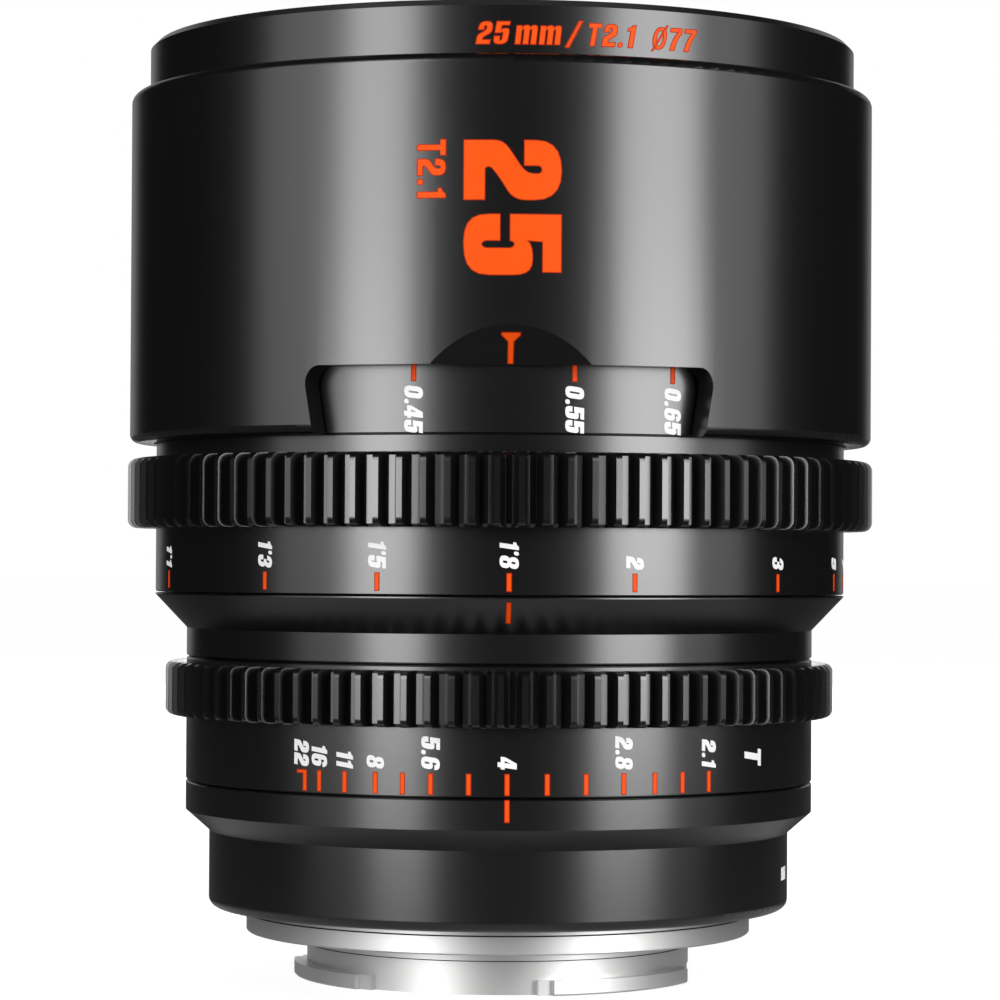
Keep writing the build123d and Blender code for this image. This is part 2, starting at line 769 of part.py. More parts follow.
# Glasses. Heights are shares of the optical unit's length above its rear end, and radii are shares
# of the carriage's bore. Each row holds the radius, then for the front face and for the rear face
# its vertex height, its rim height and how far out its curve reaches.
unit_rise = 2.0
unit_drop = 1.0
unit_z = throat_z + unit_rise
unit_top = barrel_top - unit_drop
cement_gap = 0.02
glass_gap = 0.03
unit_length = unit_top - unit_z
glass_shares = (
    (0.933, (1.017, 0.950, 0.933), (0.987, 0.870, 0.777)),
    (0.760, (0.891, 0.861, 0.760), (0.867, 0.772, 0.587)),
    (0.604, (0.738, 0.688, 0.604), (0.629, 0.673, 0.604)),
    (0.604, (0.629, 0.673, 0.604), (0.609, 0.586, 0.518)),
    (0.449, (0.542, 0.509, 0.449), (0.470, 0.486, 0.449)),
    (0.415, (0.449, 0.465, 0.397), (0.431, 0.411, 0.373)),
    (0.380, (0.263, 0.287, 0.345), (0.246, 0.223, 0.380)),
    (0.380, (0.246, 0.223, 0.380), (0.169, 0.193, 0.380)),
    (0.449, (0.158, 0.139, 0.449), (0.098, 0.125, 0.449)),
    (0.484, (0.087, 0.104, 0.466), (0.069, 0.057, 0.449)),
    (0.501, (0.053, 0.027, 0.501), (0.011, 0.015, 0.501)),
)
cemented = (3, 7)

# The rear glasses reach into the bayonet tube, so their width follows its throat
rear_group_start = 6
rear_width_share = 1.556451613
rear_width = rear_width_share * mount_throat


class Face:
    """One polished face: a curve about the axis from its vertex out to its reach."""

    def __init__(self, shares, drop, width):
        vertex_share, rim_share, reach_share = shares
        self.vertex = unit_z + vertex_share * unit_length - drop
        self.rim = unit_z + rim_share * unit_length - drop
        self.reach = reach_share * width
        depth = self.rim - self.vertex
        self.curve = (self.reach ** 2 + depth ** 2) / (2 * depth)

    def height(self, radius):
        """The height of the face at a radius."""
        inside = min(radius, self.reach)
        side = 1 if self.curve > 0 else -1
        return self.vertex + self.curve - side * sqrt(self.curve ** 2 - inside ** 2)


class Glass:
    """One glass of the row: its radius and its two faces."""

    def __init__(self, index):
        radius_share, front_shares, rear_shares = glass_shares[index]
        width = carriage_bore if index < rear_group_start else rear_width
        self.radius = radius_share * width
        self.bore = self.radius + glass_gap
        self.front = Face(front_shares, cement_gap if index in cemented else 0, width)
        self.rear = Face(rear_shares, 0, width)


glasses = [Glass(index) for index in range(len(glass_shares))]

for number, glass in enumerate(glasses, start=1):
    with BuildPart() as element:
        with BuildSketch(Plane.XZ):
            with BuildLine():
                front, rear = glass.front, glass.rear
                front_middle = (front.reach / 2, front.height(front.reach / 2))
                rear_middle = (rear.reach / 2, rear.height(rear.reach / 2))
                ThreePointArc((0, front.vertex), front_middle, (front.reach, front.rim))
                if front.reach < glass.radius - match:
                    Line((front.reach, front.rim), (glass.radius, front.rim))
                Line((glass.radius, front.rim), (glass.radius, rear.rim))
                if rear.reach < glass.radius - match:
                    Line((glass.radius, rear.rim), (rear.reach, rear.rim))
                ThreePointArc((rear.reach, rear.rim), rear_middle, (0, rear.vertex))
                Line((0, rear.vertex), (0, front.vertex))
            make_face()
        revolve(axis=Axis.Z)
    element.part.label = f"lens_{number:02d}"
    export_step(element.part, f"parts/lens_{number:02d}.step")

lens_1, lens_2, lens_3, lens_4, lens_5, lens_6, lens_7, lens_8, lens_9, lens_10, lens_11 = glasses

# Front cell with the first four glasses, their spacer and retaining rings
ring_wall = 1.15
seat_width = 1.0
floor_thickness = 1.1
front_flange_gap = 2.1
front_land_height = 12.0
front_neck_wall = 2.0
front_neck_share = 0.738
retainer_height = 3.0
retainer_gap = 0.05


def seat(glass, face):
    """The inner radius of a ring or ledge that bears on a glass near its edge."""
    return min(face.reach, glass.radius) - seat_width


front_bore = lens_1.bore + ring_wall
front_flange_radius = barrel_radius - front_flange_gap
front_neck_top = unit_z + front_neck_share * unit_length
pocket_3_top = lens_3.front.height(lens_3.radius) + retainer_gap
neck_radius = lens_3.bore + front_neck_wall
waist_radius = lens_2.bore + front_neck_wall

with BuildPart() as front_cell:
    revolve(outline(
        (seat(lens_4, lens_4.rear) + seat_width, lens_4.rear.rim - floor_thickness),
        (neck_radius, lens_4.rear.rim - floor_thickness),
        (neck_radius, front_neck_top),
        (waist_radius, front_neck_top),
        (waist_radius, carriage_top - front_land_height),
        (cell_radius, carriage_top - front_land_height),
        (cell_radius, carriage_top),
        (front_flange_radius, carriage_top),
        (front_flange_radius, unit_top),
        (front_bore, unit_top),
        (front_bore, lens_1.front.rim + retainer_gap),
        (lens_1.bore, lens_1.front.rim + retainer_gap),
        (lens_1.bore, lens_1.rear.rim),
        (lens_2.bore, lens_1.rear.rim),
        (lens_2.bore, lens_2.rear.rim),
        (lens_3.bore + ring_wall, lens_2.rear.rim),
        (lens_3.bore + ring_wall, pocket_3_top),
        (lens_3.bore, pocket_3_top),
        (lens_3.bore, lens_4.rear.rim),
        (seat(lens_4, lens_4.rear) + seat_width, lens_4.rear.rim),
    ), axis=Axis.Z)
front_cell.part.label = "front_cell"
export_step(front_cell.part, "parts/front_cell.step")

# Spacers and retaining rings, each between the faces that it parts or holds
spacer_1_inner = seat(lens_2, lens_2.front)
retainer_1_inner = seat(lens_1, lens_1.front) + seat_width / 4
retainer_2_inner = seat(lens_3, lens_3.front)
spacer_2_inner = lens_6.front.reach + glass_gap
retainer_3_inner = seat(lens_5, lens_5.front)
spacer_3_inner = lens_9.radius - seat_width / 2
spacer_4_inner = lens_10.rear.reach + glass_gap
retainer_4_inner = lens_7.front.reach + glass_gap
retainer_5_inner = seat(lens_11, lens_11.rear)
rear_retainer_wall = 1.3
rear_retainer_height = 1.2
front_retainer_height = 1.6
ring_table = (
    ("lens_spacer_1", spacer_1_inner, lens_2.radius,
     lens_2.front.height(spacer_1_inner) + retainer_gap, lens_1.rear.rim),
    ("lens_spacer_2", spacer_2_inner, lens_6.bore - glass_gap,
     lens_6.front.rim, lens_5.rear.height(spacer_2_inner)),
    ("lens_spacer_3", spacer_3_inner, lens_10.radius,
     lens_10.front.rim, lens_9.rear.height(spacer_3_inner)),
    ("lens_spacer_4", spacer_4_inner, lens_11.radius,
     lens_11.front.height(spacer_4_inner) + retainer_gap, lens_10.rear.rim),
    ("lens_retainer_1", retainer_1_inner, front_bore - seat_gap,
     lens_1.front.height(retainer_1_inner) + retainer_gap,
     lens_1.front.height(retainer_1_inner) + retainer_height),
    ("lens_retainer_2", retainer_2_inner, lens_3.bore + ring_wall - seat_gap,
     lens_3.front.height(retainer_2_inner) + retainer_gap,
     lens_3.front.height(retainer_2_inner) + retainer_height),
    ("lens_retainer_3", retainer_3_inner, lens_5.radius,
     lens_5.front.height(retainer_3_inner) + retainer_gap,
     lens_5.front.height(retainer_3_inner) + front_retainer_height),
    ("lens_retainer_4", retainer_4_inner, lens_7.radius,
     lens_7.front.rim + retainer_gap, lens_7.front.rim + retainer_gap + seat_width),
    ("lens_retainer_5", retainer_5_inner, lens_11.bore + rear_retainer_wall - seat_gap,
     unit_z, unit_z + rear_retainer_height),
)

for name, inner, outer, bottom, top in ring_table:
    with BuildPart() as lens_ring:
        revolve(band(inner, outer, bottom, top), axis=Axis.Z)
    lens_ring.part.label = name
    export_step(lens_ring.part, f"parts/{name}.step")

# Middle cell, held on the carriage's rib by its lock ring
cell_wall = 2.4
middle_flange_height = 3.0
middle_lock_wall = 2.9
middle_lock_height = 2.0
middle_radius = lens_5.bore + cell_wall
middle_ledge_z = lens_5.rear.height(lens_6.bore) - retainer_gap
middle_top = lens_5.front.height(retainer_3_inner) + front_retainer_height + retainer_gap

with BuildPart() as middle_cell:
    revolve(outline(
        (lens_6.rear.reach, lens_6.rear.rim - floor_thickness),
        (middle_radius, lens_6.rear.rim - floor_thickness),
        (middle_radius, rib_top),
        (cell_radius, rib_top),
        (cell_radius, rib_top + middle_flange_height),
        (middle_radius, rib_top + middle_flange_height),
        (middle_radius, middle_top),
        (lens_5.bore, middle_top),
        (lens_5.bore, middle_ledge_z),
        (lens_6.bore, middle_ledge_z),
        (lens_6.bore, lens_6.rear.rim),
        (lens_6.rear.reach, lens_6.rear.rim),
    ), axis=Axis.Z)
middle_cell.part.label = "middle_cell"
export_step(middle_cell.part, "parts/middle_cell.step")

with BuildPart() as middle_lock_ring:
    lock_bottom = rib_top + middle_flange_height
    revolve(band(cell_radius - middle_lock_wall, cell_radius, lock_bottom,
                 lock_bottom + middle_lock_height), axis=Axis.Z)
middle_lock_ring.part.label = "middle_lock_ring"
export_step(middle_lock_ring.part, "parts/middle_lock_ring.step")

# Rear cell with the last five glasses
rear_cell_flange = 1.5
rear_cell_top = lens_7.front.rim + retainer_gap + seat_width + retainer_gap
rear_cell_wall = 2.6
rear_web_bore = seat(lens_8, lens_8.rear)
rear_ledge_z = lens_8.rear.height(rear_web_bore) - retainer_gap
rear_web_thickness = 1.1
lens_9_seat = lens_9.radius - seat_width / 2
lens_9_seat_z = lens_9.front.height(lens_9_seat) + retainer_gap
rear_retainer_bore = lens_11.bore + rear_retainer_wall
rear_skirt_radius = rear_retainer_bore + rear_retainer_wall

with BuildPart() as rear_cell:
    revolve(outline(
        (rear_retainer_bore, unit_z),
        (rear_skirt_radius, unit_z),
        (rear_skirt_radius, carriage_z),
        (cell_radius, carriage_z),
        (cell_radius, carriage_z + rear_cell_flange),
        (lens_7.bore + rear_cell_wall, carriage_z + rear_cell_flange),
        (lens_7.bore + rear_cell_wall, rear_cell_top),
        (lens_7.bore, rear_cell_top),
        (lens_7.bore, rear_ledge_z),
        (rear_web_bore, rear_ledge_z),
        (rear_web_bore, rear_ledge_z - rear_web_thickness),
        (lens_9_seat, rear_ledge_z - rear_web_thickness),
        (lens_9_seat, lens_9_seat_z),
        (lens_9.bore, lens_9_seat_z),
        (lens_9.bore, lens_9.rear.rim),
        (lens_10.bore, lens_9.rear.rim),
        (lens_10.bore, lens_10.rear.rim),
        (lens_11.bore, lens_10.rear.rim),
        (lens_11.bore, unit_z + rear_retainer_height),
        (rear_retainer_bore, unit_z + rear_retainer_height),
    ), axis=Axis.Z)
rear_cell.part.label = "rear_cell"
export_step(rear_cell.part, "parts/rear_cell.step")

# Iris. A blade swings about its pivot while its cam pin follows a slot in the cam ring, so that
# the blade always turns by the same share of the ring's own turn.
blade_count = 9
blade_span = 100.0
pivot_circle = 0.6823 * iris_rim_inner
blade_inner = 0.41791 * iris_rim_inner
blade_outer = 0.6226 * iris_rim_inner
open_radius = 0.40512 * iris_rim_inner
closed_radius = 0.03881 * iris_rim_inner
cam_pin_offset = 0.34115 * iris_rim_inner
iris_opening = 0.42644 * iris_rim_inner
cam_ring_inner = 0.6823 * iris_rim_inner
blade_thickness = 0.12
blade_pitch = 0.16
blade_pin_radius = 0.55
pivot_tab = 1.7
cam_tab = 1.4
iris_plate_drop = 4.7
iris_plate_thickness = 1.6
iris_rim_drop = 9.6
iris_plate_z = rib_z - iris_plate_drop
iris_rim_z = rib_z - iris_rim_drop
iris_flange_height = 2.0
iris_pin_hold = 1.4
cam_ring_thickness = 1.8
cam_slot_gap = 0.08
fork_drop = 3.2
fork_z = pin_z - fork_drop
fork_prong = 1.6
snap_width = 1.2
snap_sink = 0.6
snap_thickness = 0.5
snap_gap_angle = 24.0
snap_start_angle = 102.0


def swing(radius):
    """How far a blade has swung from concentric when it leaves an opening of that radius."""
    return degrees(2 * asin((blade_inner - radius) / (2 * pivot_circle)))


blade_ratio = (swing(closed_radius) - swing(open_radius)) / (open_turn + close_turn)
rest_swing = swing(open_radius) + blade_ratio * open_turn


def cam_point(turn):
    """Where the cam pin of the first blade lies on the cam ring when the ring has turned."""
    swung = radians(rest_swing + blade_ratio * turn)
    x = pivot_circle + cam_pin_offset * sin(swung)
    y = -cam_pin_offset * cos(swung)
    back = radians(-turn)
    return (x * cos(back) - y * sin(back), x * sin(back) + y * cos(back))


cam_top = iris_plate_z - blade_count * blade_pitch - seam
cam_z = cam_top - cam_ring_thickness
snap_z = cam_z - edge_break - snap_thickness

with BuildPart() as iris_base:
    revolve(outline(
        (iris_opening, iris_plate_z),
        (iris_rim_inner, iris_plate_z),
        (iris_rim_inner, iris_rim_z),
        (iris_outer, iris_rim_z),
        (iris_outer, rib_z - iris_flange_height),
        (cell_radius, rib_z - iris_flange_height),
        (cell_radius, rib_z),
        (iris_rim_inner, rib_z),
        (iris_rim_inner, iris_plate_z + iris_plate_thickness),
        (iris_opening, iris_plate_z + iris_plate_thickness),
    ), axis=Axis.Z)
    revolve(band(iris_rim_inner - overrun, iris_rim_inner + snap_sink + seat_gap,
                 snap_z - seat_gap, snap_z + snap_thickness + seat_gap),
            axis=Axis.Z, mode=Mode.SUBTRACT)
    with Locations(Plane.XY.offset(iris_plate_z + iris_plate_thickness)):
        with PolarLocations(pivot_circle, blade_count):
            Hole(blade_pin_radius + run_gap, iris_plate_thickness + overrun)
iris_base.part.label = "iris_base"
export_step(iris_base.part, "parts/iris_base.step")

iris_lock_height = 2.0

with BuildPart() as iris_lock_ring:
    lock_top = rib_z - iris_flange_height
    revolve(band(cell_radius - iris_lock_wall, cell_radius, lock_top - iris_lock_height,
                 lock_top), axis=Axis.Z)
iris_lock_ring.part.label = "iris_lock_ring"
export_step(iris_lock_ring.part, "parts/iris_lock_ring.step")

with BuildPart() as iris_snap_ring:
    extrude(sector(snap_z, iris_rim_inner - snap_width,
                   iris_rim_inner + snap_sink, snap_start_angle, 360 - snap_gap_angle),
            amount=snap_thickness)
iris_snap_ring.part.label = "iris_snap_ring"
export_step(iris_snap_ring.part, "parts/iris_snap_ring.step")

slot_path = ThreePointArc(cam_point(-open_turn), cam_point(0), cam_point(close_turn))

with BuildPart() as iris_cam_ring:
    revolve(band(cam_ring_inner, iris_rim_inner - run_gap, cam_z, cam_top), axis=Axis.Z)
    with BuildSketch(Plane.XY.offset(cam_z)):
        with PolarLocations(0, blade_count):
            SlotArc(slot_path, 2 * (blade_pin_radius + cam_slot_gap))
    extrude(amount=cam_ring_thickness, mode=Mode.SUBTRACT)
    prong_offset = pin_radius + run_gap + fork_prong / 2
    with BuildSketch(facing(pin_angle, (fork_z + cam_z) / 2, fork_inner)):
        with Locations((-prong_offset, 0), (prong_offset, 0)):
            Rectangle(fork_prong, cam_z - fork_z)
    extrude(amount=fork_depth)
iris_cam_ring.part.label = "iris_cam_ring"
export_step(iris_cam_ring.part, "parts/iris_cam_ring.step")

blade_middle = (blade_inner + blade_outer) / 2
blade_width = blade_outer - blade_inner
blade_line = CenterArc((-pivot_circle, 0), blade_middle, 0, blade_span)

for index in range(blade_count):
    pivot_angle = 360 * index / blade_count
    blade_z = iris_plate_z - seam / 2 - index * blade_pitch - blade_thickness
    lean = radians(pivot_angle + rest_swing)
    blade_plane = Plane(
        origin=(pivot_circle * cos(radians(pivot_angle)),
                pivot_circle * sin(radians(pivot_angle)), blade_z),
        x_dir=(cos(lean), sin(lean), 0),
        z_dir=(0, 0, 1),
    )
    with BuildPart() as iris_blade:
        with BuildSketch(blade_plane):
            with Locations((blade_middle - pivot_circle, 0)):
                Circle(blade_width / 2)
            Circle(pivot_tab)
            with Locations((0, -cam_pin_offset)):
                Circle(cam_tab)
            make_hull()
            SlotArc(blade_line, blade_width)
        extrude(amount=blade_thickness)
        with BuildSketch(blade_plane):
            Circle(blade_pin_radius)
        extrude(amount=iris_plate_z + iris_pin_hold - blade_z)
        with BuildSketch(blade_plane):
            with Locations((0, -cam_pin_offset)):
                Circle(blade_pin_radius)
        extrude(amount=cam_z + edge_break - blade_z)
    iris_blade.part.label = f"iris_blade_{index + 1}"
    export_step(iris_blade.part, f"parts/iris_blade_{index + 1}.step")
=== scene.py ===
"""Looks of the cinema prime lens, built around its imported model.

Everything is in metres in the model's own frame: +Z runs to the front of the lens, the index marks
face -Y, and angles round the barrel are in degrees to the right of the index.
"""

from math import cos, pi, radians, sin

import bmesh
import bpy
from mathutils import Matrix, Vector
from mathutils.geometry import tessellate_polygon


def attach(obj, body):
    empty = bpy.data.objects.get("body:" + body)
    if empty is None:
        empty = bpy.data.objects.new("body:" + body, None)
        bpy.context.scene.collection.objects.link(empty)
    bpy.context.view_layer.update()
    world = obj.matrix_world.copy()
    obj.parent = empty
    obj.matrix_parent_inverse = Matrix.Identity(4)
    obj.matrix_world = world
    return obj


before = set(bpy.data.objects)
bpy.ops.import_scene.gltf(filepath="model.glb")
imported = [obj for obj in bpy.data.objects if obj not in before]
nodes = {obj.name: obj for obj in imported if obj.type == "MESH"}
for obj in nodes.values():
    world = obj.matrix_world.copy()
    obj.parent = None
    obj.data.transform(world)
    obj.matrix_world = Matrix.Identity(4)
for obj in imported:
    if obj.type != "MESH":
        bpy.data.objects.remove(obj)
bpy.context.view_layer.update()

MM = 0.001

# Camera, at the photograph's angle

camera_distance = 412.8 * MM
camera_height = 47.23 * MM
camera_azimuth = radians(1.45)
camera_pitch = 0.0159
camera_roll = 0.0054
camera_lens = 130.25
sensor_width = 36.0
camera_clip = 0.01


def make_camera():
    """The camera stands just left of the index and looks slightly up."""
    data = bpy.data.cameras.new("camera")
    data.lens = camera_lens
    data.sensor_width = sensor_width
    data.clip_start = camera_clip
    camera = bpy.data.objects.new("camera", data)
    bpy.context.scene.collection.objects.link(camera)
    ahead = Vector((sin(camera_azimuth) * cos(camera_pitch),
                    cos(camera_azimuth) * cos(camera_pitch), sin(camera_pitch)))
    level = Vector((cos(camera_azimuth), -sin(camera_azimuth), 0))
    above = level.cross(ahead)
    right = level * cos(camera_roll) + above * sin(camera_roll)
    up = right.cross(ahead)
    turn = Matrix((right, up, -ahead)).transposed().to_4x4()
    place = Vector((-camera_distance * sin(camera_azimuth),
                    -camera_distance * cos(camera_azimuth), camera_height))
    camera.matrix_world = Matrix.Translation(place) @ turn
    bpy.context.scene.camera = camera


make_camera()

# Materials


def new_material(name):
    """A new material, its node tree and its shader."""
    material = bpy.data.materials.new(name)
    material.use_nodes = True
    tree = material.node_tree
    shader = tree.nodes["Principled BSDF"]
    return material, tree, shader


def add_node(tree, kind, **values):
    """A node of a kind, with its properties and its sockets set by name."""
    node = tree.nodes.new(kind)
    for key, value in values.items():
        if hasattr(node, key):
            setattr(node, key, value)
        else:
            node.inputs[key.replace("_", " ")].default_value = value
    return node


def noise_of(tree, source, scale, detail=4.0):
    """A noise texture on given coordinates."""
    noise = add_node(tree, "ShaderNodeTexNoise", Scale=scale, Detail=detail)
    tree.links.new(source, noise.inputs["Vector"])
    return noise.outputs["Fac"]


def spread(tree, value, low, high, start=0.0, end=1.0):
    """Maps a value from start..end to low..high."""
    ranged = add_node(tree, "ShaderNodeMapRange", From_Min=start, From_Max=end, To_Min=low,
                      To_Max=high)
    tree.links.new(value, ranged.inputs["Value"])
    return ranged.outputs["Result"]


def tone_mix(tree, value, low, high):
    """Mixes two colours by a value."""
    mix = add_node(tree, "ShaderNodeMix", data_type="RGBA")
    mix.inputs["A"].default_value = (*low, 1)
    mix.inputs["B"].default_value = (*high, 1)
    tree.links.new(value, mix.inputs["Factor"])
    return mix.outputs["Result"]


def bump_of(tree, shader, height, strength, distance):
    """Adds a bump from a height value to a shader."""
    bump = add_node(tree, "ShaderNodeBump", Strength=strength, Distance=distance)
    tree.links.new(height, bump.inputs["Height"])
    tree.links.new(bump.outputs["Normal"], shader.inputs["Normal"])


def plain_coordinates(tree):
    """The piece's own coordinates."""
    return tree.nodes.new("ShaderNodeTexCoord").outputs["Object"]


def turned_coordinates(tree, plain):
    """Coordinates that don't change round the axis, so that noise on them runs in fine rings."""
    parts = tree.nodes.new("ShaderNodeSeparateXYZ")
    tree.links.new(plain, parts.inputs["Vector"])
    flat = tree.nodes.new("ShaderNodeCombineXYZ")
    tree.links.new(parts.outputs["X"], flat.inputs["X"])
    tree.links.new(parts.outputs["Y"], flat.inputs["Y"])
    length = add_node(tree, "ShaderNodeVectorMath", operation="LENGTH")
    tree.links.new(flat.outputs["Vector"], length.inputs[0])
    rings = tree.nodes.new("ShaderNodeCombineXYZ")
    tree.links.new(length.outputs["Value"], rings.inputs["X"])
    tree.links.new(parts.outputs["Z"], rings.inputs["Z"])
    return rings.outputs["Vector"]


# The finishes: scales of the noise for wide clouds and fine grain, and values of whole materials
black_cloud = 60.0
black_sheen = 400.0
black_grain = 9000.0
metal_cloud = 90.0
metal_grain = 12000.0
paint_cloud = 700.0
paint_grain = 2500.0
glass_cloud = 30.0
fine_detail = 2.0
blast_strength = 0.015
blast_depth = 0.02 * MM
lathe_depth = 0.01 * MM
paint_gloss = 0.12
paint_roughness = (0.45, 0.6)
glass_index = 1.6
film_index = 1.38
glass_roughness = (0.0, 0.01)


def anodised(name, dark, light, roughness, rings=0.0, gloss=0.85):
    """Black anodised aluminium: a faint blasted grain, or turning rings where they show."""
    material, tree, shader = new_material(name)
    shader.inputs["Specular IOR Level"].default_value = gloss
    plain = plain_coordinates(tree)
    cloud = noise_of(tree, plain, black_cloud)
    tree.links.new(tone_mix(tree, cloud, dark, light), shader.inputs["Base Color"])
    sheen = noise_of(tree, plain, black_sheen)
    tree.links.new(spread(tree, sheen, roughness - 0.004, roughness + 0.006),
                   shader.inputs["Roughness"])
    ground = turned_coordinates(tree, plain) if rings else plain
    fine = noise_of(tree, ground, black_grain, fine_detail)
    bump_of(tree, shader, fine, rings or blast_strength, blast_depth)
    return material


def metal(name, dark, light, roughness, rings):
    """Bare or plated metal with the fine rings of a lathe."""
    material, tree, shader = new_material(name)
    shader.inputs["Metallic"].default_value = 1.0
    plain = plain_coordinates(tree)
    cloud = noise_of(tree, plain, metal_cloud)
    tree.links.new(tone_mix(tree, cloud, dark, light), shader.inputs["Base Color"])
    fine = noise_of(tree, turned_coordinates(tree, plain), metal_grain, fine_detail)
    tree.links.new(spread(tree, fine, roughness - 0.05, roughness + 0.08),
                   shader.inputs["Roughness"])
    bump_of(tree, shader, fine, rings, lathe_depth)
    return material


def paint(name, colour, shade):
    """The enamel that fills the scales."""
    material, tree, shader = new_material(name)
    shader.inputs["Specular IOR Level"].default_value = paint_gloss
    plain = plain_coordinates(tree)
    tree.links.new(tone_mix(tree, noise_of(tree, plain, paint_cloud), colour, shade),
                   shader.inputs["Base Color"])
    tree.links.new(spread(tree, noise_of(tree, plain, paint_grain), *paint_roughness),
                   shader.inputs["Roughness"])
    return material


def coated_glass(name, tint, film):
    """Polished glass with a thin coating, clear enough to look through the whole row."""
    material, tree, shader = new_material(name)
    shader.inputs["Base Color"].default_value = (*tint, 1)
    shader.inputs["IOR"].default_value = glass_index
    shader.inputs["Thin Film Thickness"].default_value = film
    shader.inputs["Thin Film IOR"].default_value = film_index
    shader.inputs["Transmission Weight"].default_value = 1.0
    plain = plain_coordinates(tree)
    tree.links.new(spread(tree, noise_of(tree, plain, glass_cloud), *glass_roughness),
                   shader.inputs["Roughness"])
    return material


black_satin = anodised("black_satin", (0.002, 0.002, 0.002), (0.0032, 0.0032, 0.0033), 0.26)
black_gear = anodised("black_gear", (0.002, 0.002, 0.002), (0.003, 0.003, 0.0031), 0.25)
black_inner = anodised("black_inner", (0.004, 0.004, 0.004), (0.006, 0.006, 0.006), 0.6, rings=0.3,
                       gloss=0.4)
black_blade = metal("black_blade", (0.02, 0.02, 0.022), (0.035, 0.035, 0.038), 0.42, 0.05)
chrome = metal("satin_chrome", (0.66, 0.66, 0.655), (0.74, 0.74, 0.735), 0.4, 0.25)
steel = metal("plain_steel", (0.45, 0.45, 0.45), (0.6, 0.6, 0.6), 0.3, 0.2)
brass = metal("turned_brass", (0.58, 0.42, 0.18), (0.7, 0.52, 0.25), 0.3, 0.2)
orange = paint("orange_enamel", (0.88, 0.088, 0.003), (0.8, 0.074, 0.003))
# The darker orange below is painted shade: it lines the border of every orange print and stands for
# the shaded walls of engraved grooves.
orange_groove_shade = paint("orange_groove_shade", (0.42, 0.022, 0.002), (0.36, 0.018, 0.002))
white = paint("white_enamel", (0.86, 0.86, 0.85), (0.8, 0.8, 0.79))
glass_amber = coated_glass("glass_amber", (1.0, 0.99, 0.97), 420.0)
glass_green = coated_glass("glass_green", (0.98, 1.0, 0.98), 520.0)

node_materials = {
    "bayonet_mount": chrome,
    "mount_shim": chrome,
    "mount_screws": steel,
    "barrel_screws": steel,
    "sleeve_screws": steel,
    "key_screws": steel,
    "focus_stop_pin": steel,
    "aperture_drive_pin": steel,
    "iris_snap_ring": steel,
    "focus_helicoid": brass,
    "drive_keys": brass,
    "focus_ring": black_gear,
    "aperture_ring": black_gear,
    "front_barrel": black_satin,
    "front_ring": black_satin,
    "mid_barrel": black_satin,
    "rear_barrel": black_satin,
    "scale_sleeve": black_satin,
}


def dress_nodes():
    """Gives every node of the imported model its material."""
    for name, node in nodes.items():
        if name.startswith("iris_blade"):
            material = black_blade
        elif name.startswith("lens_") and name[5:].isdigit():
            material = glass_amber if int(name[5:]) % 2 else glass_green
        else:
            material = node_materials.get(name, black_inner)
        node.data.materials.clear()
        node.data.materials.append(material)


dress_nodes()

# Sizes of the surfaces that carry marks

rear_radius = 32.83 * MM
band_radius = 35.5 * MM
scale_radius = 39.05 * MM
body_bore = 39.35 * MM
body_radius = 42.06 * MM
ring_radius = 40.0 * MM
window_top = 67.1 * MM
scallop_rise = 4.1 * MM
scallop_lift = 0.05 * MM


def on(radius):
    """A plain cylinder."""
    return lambda z: radius


# Figures, as outlines one unit tall, each with its width. The letter o and | make the diameter
# sign, and Y is the index above the window.

